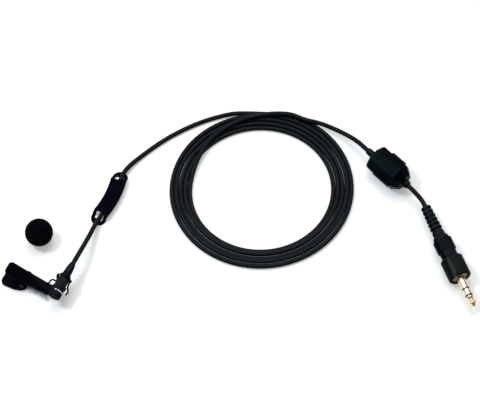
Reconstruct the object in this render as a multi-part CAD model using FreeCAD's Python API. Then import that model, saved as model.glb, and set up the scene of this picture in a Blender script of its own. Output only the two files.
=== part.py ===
import FreeCAD
import Part
import math
import os

# Lavalier microphone on its crocodile clip, with its cord, ferrite case, locking plug and foam windscreen.
# Millimetres, +Z up, standing on Z = 0. The microphone's barrel lies along +Y and the clip along X.
# The origin is under the middle of the clipped microphone and its windscreen.

V = FreeCAD.Vector

# Clearances
seat_gap = 0.03  # between a round piece and the bore that it is fixed in
running_gap = 0.05  # between a shaft and what turns or slides on it
air_gap = 0.3  # between curved faces of different bodies

# Cord
cord_diameter = 2.1
straight_from_boot = 5.2
straight_to_coil = 6.0
straight_from_coil = 5.0
straight_at_case = 1.6
straight_to_plug = 3.2

# Microphone head, from the front of the cap towards the cord
barrel_axis_x = 11.7
barrel_front_y = -15.2
barrel_diameter = 5.0
barrel_wall = 0.3
barrel_end = 9.2
cap_diameter = 5.6
cap_length = 4.5
cap_face = 0.5
cap_round = 0.5
sound_hole_diameter = 0.7
sound_hole_circle = 2.9
sound_holes = 6
mesh_thickness = 0.1
capsule_setback = 0.4  # from the barrel's front to the capsule
capsule_length = 5.0
capsule_wall = 0.25
capsule_lip = 0.6
diaphragm_ring = 0.35
diaphragm_film = 0.05
backplate_thickness = 0.4
backplate_hole_diameter = 0.4
backplate_holes = 4
insulator_wall = 0.4
board_thickness = 0.5
transistor_size = (1.5, 1.3, 0.7)
collar_length = 3.3
collar_groove_length = 1.0
collar_groove_diameter = 4.2
collar_diameter = 5.0
collar_ring_length = 0.9
collar_hub_diameter = 3.8
collar_spigot = 2.2
collar_lip = 0.3  # behind the crimp
crimp_length = 1.2
crimp_wall = 0.35
boot_length = 4.8
boot_base_diameter = 3.6
boot_end_diameter = 2.7

# Holder on the clip
cradle_wall = 0.5
cradle_floor = 1.5
cradle_foot = 2.0  # width of its foot on the arm
cradle_plate = 0.55
cradle_length = 1.5
cradle_middle = 5.4  # from the front of the cap
cradle_opening = 200.0  # degrees of the trough that are open at the top
rivet_diameter = 0.9
rivet_head_diameter = 1.5
rivet_head_height = 0.35
wire_diameter = 0.8
wire_rest = 0.02  # from the wire's feet to the arm

# Clip: the upper arm is a channel open below, the lower lever one open above
sheet = 0.6
clip_middle_y = -11.15
pad_height = 4.4  # top of the upper arm under the cradle
pad_behind = 4.0  # length of the arm's level end behind the barrel's axis
pad_ahead = 1.0  # and in front of it
arm_rear_x = -13.0
arm_rear_height = 9.2
arm_rear_width = 6.1
arm_front_width = 3.9
arm_flange = 1.5
arm_corner = 1.6
pivot_x = -4.7
pivot_height = 4.1
cheek_radius = 1.5
pin_diameter = 1.1
pin_head_diameter = 2.0
pin_head_height = 0.4
lever_rear_x = -15.2
lever_shoulder_x = -8.1
lever_front_x = -3.1
lever_width = 10.0
lever_neck_x = -5.3
lever_neck_width = 8.6
lever_front_width = 5.6
lever_corner = 2.6
lever_thickness = 0.9
lever_rise = 0.5  # of its underside at its front end
lever_rim = 0.9
lever_dish = 0.35
plate_width = 7.5
plate_rear_x = -6.6
plate_front_x = 6.9
plate_thickness = 0.5
tooth_pitch = 1.15
tooth_height = 0.45
bite_gap = 0.12
teeth_start_x = -0.3
spring_wire = 0.45
spring_turns = 3
spring_pitch = 0.9
spring_leg = 4.8

# Windscreen
windscreen_diameter = 12.4
windscreen_x = -9.75
windscreen_y = 10.7
windscreen_mouth = 5.4  # from the ball's middle to its flat mouth
windscreen_bore_diameter = 5.2
windscreen_bore_depth = 8.0

# Label tag
tag_length = 29.4
tag_width = 7.2
tag_thickness = 0.65
tag_bend_radius = 45.0
tag_end = 2.5  # flat strip at each end
tag_slot_length = 3.4
tag_slot_width = 4.2
tag_middle_x = 9.6
tag_middle_y = 42.0
tag_turn = 2.4
tag_lift = 2.4  # underside of the raised middle

# Coil of cord
coil_x = 67.7
coil_y = 75.0
coil_start_radius = 40.8
coil_inner_radius = 31.8
coil_end_radius = 39.6
coil_start_angle = 118.0
coil_end_angle = 96.0
coil_turns = 5
coil_layer_step = 2.6
coil_climb = 0.5  # of a turn, where the spiral reverses

# Clamp-on ferrite case
case_x = 116.87
case_y = 104.97
case_heading = -22.0
case_roll = 22.0
case_across = 12.0
case_length = 18.2
case_in_taper = 1.0
case_in_across = 10.6
case_out_taper = 3.5
case_out_across = 7.4
case_split = 0.1
core_diameter = 9.2
core_length = 12.6
core_bore_diameter = 3.0
grommet_diameter = 3.3
grommet_inside = 1.6
grommet_in_outside = 4.7
grommet_out_outside = 2.4
latch_length = 7.1
latch_thickness = 0.7
latch_reach = 1.7
latch_offset = -0.2
latch_rib = 0.3
latch_gap = 0.2
hinge_length = 9.0
hinge_thickness = 0.5
hinge_reach = 1.3

# Plug, from the end of its ribbed boot towards the tip
plug_x = 138.4
plug_y = 94.4
plug_heading = -44.8
plug_boot_length = 15.6
plug_boot_ribs = 6
plug_boot_rib = 1.15
plug_boot_rib_gap = 1.0
plug_boot_start_diameter = 4.6
plug_boot_end_diameter = 5.6
plug_boot_core_diameter = 4.0
plug_boot_spigot = 2.6
plug_boot_ledge = 0.4  # between the spigot and the grip's bore
grip_collar = 2.4
grip_collar_diameter = 7.0
grip_bevel = 0.8
grip_rim = 0.1
grip_ribbed = 5.8
grip_diameter = 8.5
grip_rings = 5
grip_ring_depth = 0.3
grip_ring_width = 0.64
grip_neck = 3.0
grip_neck_diameter = 7.4
grip_bore_diameter = 5.8
core_neck_diameter = 5.2
core_tail = 3.6
nut_diameter = 10.1
nut_length = 10.4
nut_rear_collar = 2.4
nut_bore_diameter = 7.4
nut_travel = 3.0
nut_bevel = 0.8
nut_gap = 0.3  # between the grip and the nut at rest
nut_stop_gap = 0.2  # left between the ring and the flange
flange_diameter = 6.7
flange_thickness = 1.4
flange_recess = 0.4
snap_ring_thickness = 0.7
snap_ring_diameter = 8.2
snap_ring_split = 1.2
shaft_diameter = 3.5
shaft_length = 15.0
sleeve_step = 0.25  # its tail in the core is this much slimmer all round
tip_length = 5.2
ring_length = 2.7
insulator_ring = 0.7
insulator_recess = 0.03
tip_straight = 0.5
tip_neck_start = 1.55
tip_neck_end = 2.1
tip_neck_diameter = 2.3
tip_shoulder = 3.0
tip_shoulder_diameter = 3.4
tip_cone = 3.65
tip_cone_diameter = 3.15
tip_nose = 0.25
tip_nose_diameter = 1.2
tip_point_diameter = 0.55
tip_rod_diameter = 0.8
tube_wall = 0.22
tip_tail = 2.4  # behind the core
ring_tail = 1.6
tail_bare = 0.4  # not covered by its insulator
lug_length = 2.4
lug_width = 1.0
lug_thickness = 0.3

# Derived places
cord_radius = cord_diameter / 2
barrel_radius = barrel_diameter / 2
pad_start_x = barrel_axis_x - pad_behind
arm_front_x = barrel_axis_x + pad_ahead
barrel_axis_z = pad_height + cradle_floor + running_gap + barrel_radius
head_length = barrel_end + collar_length
boot_end_y = barrel_front_y + head_length + boot_length
crimp_end = head_length - collar_lip
plug_axis_z = nut_diameter / 2
case_axis_z = case_across / 2 / math.cos(math.pi / 8)


def heading(degrees):
    """Unit vector that lies level and points this way from +X."""
    return V(math.cos(math.radians(degrees)), math.sin(math.radians(degrees)), 0)


head_place = FreeCAD.Placement(
    V(barrel_axis_x, barrel_front_y, barrel_axis_z),
    FreeCAD.Rotation(V(0, 0, 1), 90),
)
plug_place = FreeCAD.Placement(
    V(plug_x, plug_y, plug_axis_z),
    FreeCAD.Rotation(V(0, 0, 1), plug_heading),
)
case_place = FreeCAD.Placement(
    V(case_x, case_y, case_axis_z),
    FreeCAD.Rotation(V(0, 0, 1), case_heading).multiply(FreeCAD.Rotation(V(1, 0, 0), case_roll)),
)

tag_place = FreeCAD.Placement(V(tag_middle_x, tag_middle_y, 0), FreeCAD.Rotation(V(0, 0, 1), tag_turn))

nodes = {}


def keep(name, shape, place=None):
    """Stores a finished piece under its node's name, moved from its own axes to its place."""
    if place is not None:
        shape = shape.copy()
        shape.Placement = place.multiply(shape.Placement)
    nodes[name] = shape


def box(low, high):
    """Block between two corners."""
    size = [h - l for l, h in zip(low, high)]
    return Part.makeBox(size[0], size[1], size[2], V(*low))


def rod(diameter, start, end):
    """Round bar from one point to another."""
    axis = V(*end) - V(*start)
    return Part.makeCylinder(diameter / 2, axis.Length, V(*start), axis)


def turned(outline):
    """Solid of revolution about X, from an outline of (along, radius) points."""
    points = [V(x, r, 0) for x, r in outline]
    face = Part.Face(Part.makePolygon(points + points[:1]))
    return face.revolve(V(0, 0, 0), V(1, 0, 0), 360)


def pipe(outer, inner, start, end):
    """Tube about X between two places along it."""
    return turned([(start, inner / 2), (end, inner / 2), (end, outer / 2), (start, outer / 2)])


def slab(points, low, high):
    """Flat outline in X and Z, given as (x, z), drawn out along Y."""
    corners = [V(x, low, z) for x, z in points]
    face = Part.Face(Part.makePolygon(corners + corners[:1]))
    return face.extrude(V(0, high - low, 0))


def arc_on(start, corner, end):
    """Arc that leaves start towards corner and reaches end, where both lie as far from corner."""
    chord_middle = (start + end) * 0.5
    half_chord = (end - start).Length / 2
    rise = corner - chord_middle
    reach = (corner - start).Length
    sagitta = half_chord * rise.Length / (reach + half_chord)
    return Part.Arc(start, chord_middle + rise * (sagitta / rise.Length), end).toShape()


def rounded_route(points):
    """Edges of straight runs joined by tangent arcs, and the arcs' radii."""
    points = [V(*p) for p in points]
    edges = []
    radii = []
    last = points[0]
    for before, corner, after in zip(points, points[1:], points[2:]):
        run_in = corner - before
        run_out = after - corner
        half_turn = run_in.getAngle(run_out) / 2
        cut = 0.45 * min(run_in.Length, run_out.Length)
        radii.append(cut / math.tan(half_turn))
        start = corner - run_in * (cut / run_in.Length)
        end = corner + run_out * (cut / run_out.Length)
        edges.append(Part.LineSegment(last, start).toShape())
        edges.append(arc_on(start, corner, end))
        last = end
    edges.append(Part.LineSegment(last, points[-1]).toShape())
    return edges, radii


def swept(edges, diameter):
    """Round bar along a wire, in the sweep's default mode."""
    wire = Part.Wire(edges)
    start = wire.Edges[0].valueAt(wire.Edges[0].FirstParameter)
    direction = wire.Edges[0].tangentAt(wire.Edges[0].FirstParameter)
    ring = Part.Wire(Part.makeCircle(diameter / 2, start, direction))
    return wire.makePipeShell([ring], True, False)


def biarc(start, leaving, end, arriving):
    """Two arcs that join two points with these directions at them."""
    step = end - start
    a = 2 * (1 - leaving.dot(arriving))
    b = 2 * step.dot(leaving + arriving)
    c = -step.dot(step)
    reach = (-b + math.sqrt(b * b - 4 * a * c)) / (2 * a)
    first = start + leaving * reach
    second = end - arriving * reach
    middle = (first + second) * 0.5
    return [arc_on(start, first, middle), arc_on(middle, second, end)]


def biarc_chain(places, directions):
    """Biarcs through all the places in turn."""
    edges = []
    for k in range(len(places) - 1):
        edges += biarc(places[k], directions[k], places[k + 1], directions[k + 1])
    return edges


def least_gap(edges, diameter, skip):
    """Least gap between stretches of a wound bar that are more than skip apart along it."""
    points = []
    along = []
    travelled = 0.0
    for edge in edges:
        count = max(2, int(edge.Length / 1.0))
        for p in edge.discretize(count)[:-1]:
            if points:
                travelled += (p - points[-1]).Length
            points.append(p)
            along.append(travelled)
    least = 1e9
    for i in range(len(points)):
        for j in range(i + 1, len(points)):
            if along[j] - along[i] > skip:
                least = min(least, (points[i] - points[j]).Length)
    return least - diameter


def make_head():
    """Cap, barrel, capsule parts, collar, crimp and boot, about X from the front of the cap."""
    bore = barrel_diameter - 2 * barrel_wall
    barrel_start = cap_face + mesh_thickness
    keep("barrel", pipe(barrel_diameter, bore, barrel_start, barrel_end), head_place)

    cap_bore = barrel_diameter + 2 * seat_gap
    cap = turned([
        (0, 0),
        (cap_face, 0),
        (cap_face, cap_bore / 2),
        (cap_length, cap_bore / 2),
        (cap_length, cap_diameter / 2),
        (0, cap_diameter / 2),
    ])
    rim = math.pi * cap_diameter
    front_edges = [e for e in cap.Edges if abs(e.CenterOfMass.x) < 1e-6 and abs(e.Length - rim) < 1e-3]
    cap = cap.makeFillet(cap_round, front_edges)
    hole_places = [(0, 0)]
    for k in range(sound_holes):
        angle = 2 * math.pi * k / sound_holes
        hole_places.append((sound_hole_circle / 2 * math.cos(angle), sound_hole_circle / 2 * math.sin(angle)))
    for y, z in hole_places:
        cap = cap.cut(rod(sound_hole_diameter, (-1, y, z), (cap_face + 1, y, z)))
    keep("grille_cap", cap, head_place)
    keep("grille_mesh", rod(barrel_diameter, (cap_face, 0, 0), (barrel_start, 0, 0)), head_place)
    make_capsule(barrel_start + capsule_setback, bore - 2 * seat_gap)

    spigot = bore / 2 - seat_gap
    spigot_start = barrel_end - collar_spigot
    groove_end = barrel_end + collar_groove_length
    crimp_diameter = cord_diameter + 2 * crimp_wall
    crimp_bore = crimp_diameter / 2 + seat_gap
    collar = turned([
        (spigot_start, crimp_bore),
        (spigot_start, spigot),
        (barrel_end, spigot),
        (barrel_end, collar_groove_diameter / 2),
        (groove_end, collar_groove_diameter / 2),
        (groove_end, collar_diameter / 2),
        (groove_end + collar_ring_length, collar_diameter / 2),
        (groove_end + collar_ring_length, collar_hub_diameter / 2),
        (head_length, collar_hub_diameter / 2),
        (head_length, cord_radius + seat_gap),
        (crimp_end, cord_radius + seat_gap),
        (crimp_end, crimp_bore),
    ])
    keep("rear_collar", collar, head_place)
    crimp = pipe(crimp_diameter, cord_diameter + 2 * seat_gap, crimp_end - crimp_length, crimp_end)
    keep("cable_crimp", crimp, head_place)
    keep("cable_boot", turned([
        (head_length, cord_radius + seat_gap),
        (head_length, boot_base_diameter / 2),
        (head_length + boot_length, boot_end_diameter / 2),
        (head_length + boot_length, cord_radius + seat_gap),
    ]), head_place)


def make_capsule(can_start, can_diameter):
    """Capsule's can with the diaphragm, backplate, insulator and board inside it."""
    can_bore = can_diameter - 2 * capsule_wall
    can_end = can_start + capsule_length
    can = pipe(can_diameter, can_bore, can_start, can_end)
    lip = pipe(can_bore, can_bore - 2 * capsule_lip, can_start, can_start + capsule_wall)
    keep("capsule_can", can.fuse(lip).removeSplitter(), head_place)
    inside = can_bore - 2 * seat_gap
    film_start = can_start + capsule_wall
    film_end = film_start + diaphragm_film
    ring_end = film_start + diaphragm_ring
    ring_bore = inside - 2 * insulator_wall
    keep("diaphragm", turned([
        (film_start, 0),
        (film_start, inside / 2),
        (ring_end, inside / 2),
        (ring_end, ring_bore / 2),
        (film_end, ring_bore / 2),
        (film_end, 0),
    ]), head_place)
    plate_end = ring_end + backplate_thickness
    plate = rod(ring_bore, (ring_end, 0, 0), (plate_end, 0, 0))
    for k in range(backplate_holes):
        angle = 2 * math.pi * k / backplate_holes
        y = ring_bore / 4 * math.cos(angle)
        z = ring_bore / 4 * math.sin(angle)
        plate = plate.cut(rod(backplate_hole_diameter, (ring_end - 1, y, z), (plate_end + 1, y, z)))
    keep("backplate", plate, head_place)
    board_start = can_end - board_thickness
    keep("capsule_insulator", turned([
        (ring_end, ring_bore / 2 + seat_gap),
        (plate_end, ring_bore / 2 + seat_gap),
        (plate_end, ring_bore / 2 - insulator_wall),
        (board_start, ring_bore / 2 - insulator_wall),
        (board_start, inside / 2),
        (ring_end, inside / 2),
    ]), head_place)
    keep("preamp_board", rod(inside, (board_start, 0, 0), (can_end, 0, 0)), head_place)
    long, wide, high = transistor_size
    low_corner = (board_start - high, -long / 2, -wide / 2)
    high_corner = (board_start, long / 2, wide / 2)
    keep("transistor", box(low_corner, high_corner), head_place)


def arm_half_width(x):
    """Half of the upper arm's width, which tapers towards the barrel."""
    share = (x - arm_rear_x) / (arm_front_x - arm_rear_x)
    return (arm_rear_width + share * (arm_front_width - arm_rear_width)) / 2


def arm_top(x):
    """Height of the upper arm's top face."""
    slope = (arm_rear_height - pad_height) / (pad_start_x - arm_rear_x)
    return pad_height + max(0.0, pad_start_x - x) * slope


def lever_top(x):
    """Height of the thumb lever's upper face."""
    share = (x - lever_rear_x) / (lever_front_x - lever_rear_x)
    return lever_thickness + share * lever_rise


jaw_deck = lever_top(lever_front_x) + plate_thickness
bite_height = jaw_deck + tooth_height
upper_cheek_y = arm_half_width(pivot_x) - sheet / 2  # middle of the upper arm's cheeks
lower_cheek_y = upper_cheek_y + sheet + running_gap
tail_half_width = lower_cheek_y + sheet / 2


def arm_plan(margin, low, high):
    """Plan of the upper arm, tapered and with round rear corners, drawn up between two heights."""
    rear = arm_rear_width / 2 - margin
    front = arm_front_width / 2 - margin
    start = arm_rear_x + margin
    end = arm_front_x - margin
    corner = arm_corner - margin
    bend = corner * (1 - math.sqrt(0.5))
    y = clip_middle_y
    edges = [
        Part.LineSegment(V(start + corner, y + rear, low), V(end, y + front, low)).toShape(),
        Part.LineSegment(V(end, y + front, low), V(end, y - front, low)).toShape(),
        Part.LineSegment(V(end, y - front, low), V(start + corner, y - rear, low)).toShape(),
        Part.Arc(V(start + corner, y - rear, low), V(start + bend, y - rear + bend, low),
                 V(start, y - rear + corner, low)).toShape(),
        Part.LineSegment(V(start, y - rear + corner, low), V(start, y + rear - corner, low)).toShape(),
        Part.Arc(V(start, y + rear - corner, low), V(start + bend, y + rear - bend, low),
                 V(start + corner, y + rear, low)).toShape(),
    ]
    return Part.Face(Part.Wire(edges)).extrude(V(0, 0, high - low))


def ear(across, foot_height):
    """Cheek with a round end about the pivot and a foot at another height."""
    low = clip_middle_y + across - sheet / 2
    high = clip_middle_y + across + sheet / 2
    round_end = Part.makeCylinder(cheek_radius, sheet, V(pivot_x, low, pivot_height), V(0, 1, 0))
    left = pivot_x - cheek_radius
    right = pivot_x + cheek_radius
    web = slab([
        (left, pivot_height),
        (left, foot_height(left)),
        (right, foot_height(right)),
        (right, pivot_height),
    ], low, high)
    return round_end.fuse(web)


def make_upper_arm():
    """Upper lever and jaw: a channel that is open below, with two cheeks for the pin."""
    top = [(arm_rear_x, arm_top(arm_rear_x)), (pad_start_x, pad_height), (arm_front_x, pad_height)]
    below = [(x, z - arm_flange) for x, z in reversed(top)]
    low = clip_middle_y - arm_rear_width
    high = clip_middle_y + arm_rear_width
    above = arm_rear_height + 1
    body = slab(top + below, low, high).common(arm_plan(0, -1, above))
    lowered = [(x, z - sheet) for x, z in top]
    hollow = slab(lowered + [(arm_front_x, -1), (arm_rear_x, -1)], low, high)
    mouth = arm_front_width / 2 - sheet
    open_front = box(
        (pad_start_x, clip_middle_y - mouth, -2),
        (arm_front_x + 1, clip_middle_y + mouth, above),
    )
    body = body.cut(hollow.common(arm_plan(sheet, -2, above).fuse(open_front)))
    for side in (-1, 1):
        body = body.fuse(ear(side * upper_cheek_y, lambda x: arm_top(x) - sheet))
    body = body.cut(rod(pin_diameter, (pivot_x, low, pivot_height), (pivot_x, high, pivot_height)))
    rivet_place = (barrel_axis_x, clip_middle_y)
    body = body.cut(rod(rivet_diameter, (*rivet_place, 0), (*rivet_place, pad_height + 1)))
    keep("upper_arm", body.removeSplitter())


def tooth_row(start, end, base, peak):
    """Zigzag from one end of a jaw to the other, as (x, z) points."""
    count = int((end - start) / tooth_pitch)
    step = (end - start) / count
    row = [(start, base)]
    for k in range(count):
        row.append((start + (k + 0.5) * step, peak))
        row.append((start + (k + 1) * step, base))
    return row


def make_upper_teeth():
    """Toothed strip that fills the front of the upper arm's channel."""
    half = arm_half_width(plate_front_x) - sheet - seat_gap
    tips = bite_height + bite_gap
    row = tooth_row(teeth_start_x, plate_front_x, tips + tooth_height, tips)
    ceiling = [
        (plate_front_x, arm_top(plate_front_x) - sheet),
        (teeth_start_x, arm_top(teeth_start_x) - sheet),
    ]
    keep("upper_teeth", slab(row + ceiling, clip_middle_y - half, clip_middle_y + half))


def make_tooth_plate():
    """Bright lower jaw: toothed deck with skirts, and a tail with two cheeks outside the arm's."""
    y = clip_middle_y
    rear_half = tail_half_width
    front_half = plate_width / 2
    deck = jaw_deck
    row = tooth_row(teeth_start_x, plate_front_x, deck, bite_height)
    above = slab([(lever_front_x, deck)] + row + [(plate_front_x, 0), (lever_front_x, 0)],
                 y - front_half, y + front_half)
    corners = [
        V(lever_front_x, y - rear_half, 0),
        V(plate_front_x, y - front_half, 0),
        V(plate_front_x, y + front_half, 0),
        V(lever_front_x, y + rear_half, 0),
    ]
    plan = Part.Face(Part.makePolygon(corners + corners[:1])).extrude(V(0, 0, pivot_height))
    body = above.common(plan)
    inner = Part.Face(Part.makePolygon([
        V(lever_front_x - 1, y - rear_half + plate_thickness, -1),
        V(plate_front_x - plate_thickness, y - front_half + plate_thickness, -1),
        V(plate_front_x - plate_thickness, y + front_half - plate_thickness, -1),
        V(lever_front_x - 1, y + rear_half - plate_thickness, -1),
        V(lever_front_x - 1, y - rear_half + plate_thickness, -1),
    ])).extrude(V(0, 0, deck - plate_thickness + 1))
    body = body.cut(inner)
    tail = slab([
        (plate_rear_x, lever_top(plate_rear_x)),
        (lever_front_x, lever_top(lever_front_x)),
        (lever_front_x, deck),
        (plate_rear_x, lever_top(plate_rear_x) + plate_thickness),
    ], y - rear_half, y + rear_half)
    body = body.fuse(tail)
    for side in (-1, 1):
        body = body.fuse(ear(side * lower_cheek_y, lambda x: lever_top(x) + plate_thickness / 2))
    hole = pin_diameter + 2 * running_gap
    hole_ends = [(pivot_x, y + side * plate_width, pivot_height) for side in (-1, 1)]
    body = body.cut(rod(hole, *hole_ends))
    keep("tooth_plate", body.removeSplitter())


def make_lower_lever():
    """Moulded thumb lever under the tail of the lower jaw: round rear corners and a dished top."""
    y = clip_middle_y

    def plan(margin, low, high):
        wide = lever_width / 2 - margin
        slim = lever_front_width / 2 - margin
        start = lever_rear_x + margin
        end = lever_front_x - margin
        corner = lever_corner - margin
        bend = corner * (1 - math.sqrt(0.5))
        neck = lever_neck_width / 2 - margin
        straight = [
            V(start + corner, y + wide, low),
            V(lever_shoulder_x, y + wide, low),
            V(lever_neck_x, y + neck, low),
            V(end, y + slim, low),
            V(end, y - slim, low),
            V(lever_neck_x, y - neck, low),
            V(lever_shoulder_x, y - wide, low),
            V(start + corner, y - wide, low),
        ]
        edges = [Part.LineSegment(a, b).toShape() for a, b in zip(straight, straight[1:])]
        edges += [
            Part.Arc(V(start + corner, y - wide, low), V(start + bend, y - wide + bend, low),
                     V(start, y - wide + corner, low)).toShape(),
            Part.LineSegment(V(start, y - wide + corner, low), V(start, y + wide - corner, low)).toShape(),
            Part.Arc(V(start, y + wide - corner, low), V(start + bend, y + wide - bend, low),
                     V(start + corner, y + wide, low)).toShape(),
        ]
        return Part.Face(Part.Wire(edges)).extrude(V(0, 0, high - low))

    ends = (lever_rear_x, lever_front_x)
    side = [(x, lever_top(x) - lever_thickness) for x in ends] + [(x, lever_top(x)) for x in reversed(ends)]
    body = slab(side, y - lever_width, y + lever_width).common(plan(0, -1, pivot_height))
    dish_ends = (lever_rear_x, plate_rear_x - lever_rim / 2)
    dish_floor = [(x, lever_top(x) - lever_dish) for x in dish_ends]
    dish_top = [(x, pivot_height) for x in reversed(dish_ends)]
    dish = slab(dish_floor + dish_top, y - lever_width, y + lever_width)
    body = body.cut(dish.common(plan(lever_rim, -1, pivot_height)))
    keep("lower_lever", body.removeSplitter())


def make_pin():
    """Hinge pin with a head at each end."""
    reach = lower_cheek_y + sheet / 2 + running_gap
    y = clip_middle_y
    pin = rod(pin_diameter, (pivot_x, y - reach, pivot_height), (pivot_x, y + reach, pivot_height))
    for side in (-1, 1):
        inner = y + side * reach
        outer = inner + side * pin_head_height
        pin = pin.fuse(rod(pin_head_diameter, (pivot_x, inner, pivot_height), (pivot_x, outer, pivot_height)))
    keep("jaw_pin", pin.removeSplitter())


def make_spring():
    """Torsion spring round the pin, with a leg behind it on each lever."""
    radius = pin_diameter / 2 + air_gap + spring_wire / 2
    clear = spring_wire / 2 + seat_gap
    rise = 0.5
    fall = 0.4
    for settle in range(20):
        foot_x = pivot_x + radius * math.sin(rise) - spring_leg * math.cos(rise)
        under_arm = arm_top(foot_x) - sheet - clear
        rise = math.asin((under_arm - pivot_height - radius * math.cos(rise)) / spring_leg)
        foot_x = pivot_x + radius * math.sin(fall) - spring_leg * math.cos(fall)
        on_lever = lever_top(foot_x) - lever_dish + clear
        fall = math.asin((pivot_height - radius * math.cos(fall) - on_lever) / spring_leg)
    first = math.pi / 2 - rise
    last = -math.pi / 2 + fall - 2 * math.pi * spring_turns
    spans = 4 * spring_turns + 2
    width = spring_pitch * (spring_turns + 0.5)
    places = []
    directions = []
    for k in range(spans + 1):
        share = k / spans
        angle = first + (last - first) * share
        across = clip_middle_y + width * (share - 0.5)
        places.append(V(pivot_x + radius * math.cos(angle), across, pivot_height + radius * math.sin(angle)))
        advance = 0.0 if k in (0, spans) else width / (first - last) / radius
        directions.append(V(math.sin(angle), advance, -math.cos(angle)).normalize())
    start = places[0] - directions[0] * spring_leg
    end = places[-1] + directions[-1] * spring_leg
    turns = biarc_chain(places, directions)
    upper_leg = Part.LineSegment(start, places[0]).toShape()
    lower_leg = Part.LineSegment(places[-1], end).toShape()
    keep("jaw_spring", swept([upper_leg] + turns + [lower_leg], spring_wire))
    print("spring gap to itself", round(least_gap(turns, spring_wire, math.pi * radius), 3))


def make_cradle():
    """Trough that the barrel lies in, with a foot on the arm, and the rivet through that foot."""
    y = barrel_front_y + cradle_middle
    inner = barrel_radius + running_gap
    outer = inner + cradle_wall
    low = y - cradle_length / 2
    high = y + cradle_length / 2
    foot = cradle_foot / 2
    plate_low = clip_middle_y - foot
    plate_top = pad_height + cradle_plate
    x = barrel_axis_x
    trough = rod(2 * outer, (x, low, barrel_axis_z), (x, high, barrel_axis_z))
    trough = trough.fuse(box((x - foot, low, pad_height), (x + foot, high, barrel_axis_z)))
    trough = trough.cut(rod(2 * inner, (x, low - 1, barrel_axis_z), (x, high + 1, barrel_axis_z)))
    lip = inner * math.cos(math.radians(cradle_opening / 2))
    open_top = barrel_axis_z + lip
    trough = trough.cut(box((x - outer, low - 1, open_top), (x + outer, high + 1, open_top + 2 * outer)))
    trough = trough.fuse(box((x - foot, plate_low, pad_height), (x + foot, high, plate_top)))
    shank_low = (x, clip_middle_y, pad_height - sheet)
    head_low = (x, clip_middle_y, plate_top - rivet_head_height)
    head_high = (x, clip_middle_y, plate_top)
    trough = trough.cut(rod(rivet_diameter, shank_low, head_high))
    trough = trough.cut(rod(rivet_head_diameter, head_low, head_high))
    keep("holder_cradle", trough.removeSplitter())
    tail_low = (x, clip_middle_y, pad_height - sheet - rivet_head_height)
    rivet = rod(rivet_diameter, shank_low, head_low)
    rivet = rivet.fuse(rod(rivet_head_diameter, head_low, head_high))
    rivet = rivet.fuse(rod(rivet_head_diameter, tail_low, shank_low))
    keep("holder_rivet", rivet.removeSplitter())


def make_keeper_wire():
    """Bent wire: a foot on the arm, an eye at each side of the collar's groove, and a hook at its end."""
    loop = collar_groove_diameter / 2 + wire_diameter / 2 + running_gap
    beside = barrel_radius + wire_diameter / 2 + 2 * running_gap
    eye = beside + 0.3
    x = barrel_axis_x
    y = barrel_front_y + barrel_end + collar_groove_length / 2
    z = barrel_axis_z
    on_arm = wire_diameter / 2 + wire_rest
    points = [
        (x - 7.8, y - 4.7, arm_top(x - 7.8) + on_arm),
        (x - 6.1, y - 4.05, arm_top(x - 6.1) + on_arm),
        (x - beside - 2.4, y - 2.7, z - 1.5),
        (x - beside - 1.4, y - 2.0, z - 0.9),
        (x - beside - 0.25, y - 2.3, z - 1.3),
        (x - beside + 0.05, y - 1.5, z - 1.4),
        (x - eye, y - 0.8, z - 0.6),
        (x - loop - 0.2, y, z - 0.1),
        (x - loop, y, z + loop),
        (x + loop, y, z + loop),
        (x + loop + 0.2, y, z - 0.1),
        (x + eye, y - 0.9, z - 0.4),
        (x + beside, y - 1.9, z - 0.6),
        (x + beside + 0.05, y - 3.0, z - 1.1),
        (x + beside + 0.87, y - 4.0, z - 1.8),
        (x + beside + 0.8, y - 4.7, z - 2.6),
        (x + beside + 0.2, y - 5.4, z - 3.5),
    ]
    edges, radii = rounded_route(points)
    keep("keeper_wire", swept(edges, wire_diameter))
    print("keeper wire's least bend", round(min(radii), 2))


def make_windscreen():
    """Foam ball with a flat mouth and a blind bore that faces the same way as the cord."""
    radius = windscreen_diameter / 2
    ball = Part.makeSphere(radius, V(windscreen_x, windscreen_y, radius))
    mouth = windscreen_y + windscreen_mouth
    beyond = box((windscreen_x - radius, mouth, 0), (windscreen_x + radius, mouth + radius, 2 * radius))
    bore_bottom = (windscreen_x, mouth - windscreen_bore_depth, radius)
    bore_mouth = (windscreen_x, mouth + 1, radius)
    ball = ball.cut(beyond).cut(rod(windscreen_bore_diameter, bore_bottom, bore_mouth))
    keep("windscreen", ball)


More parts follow.
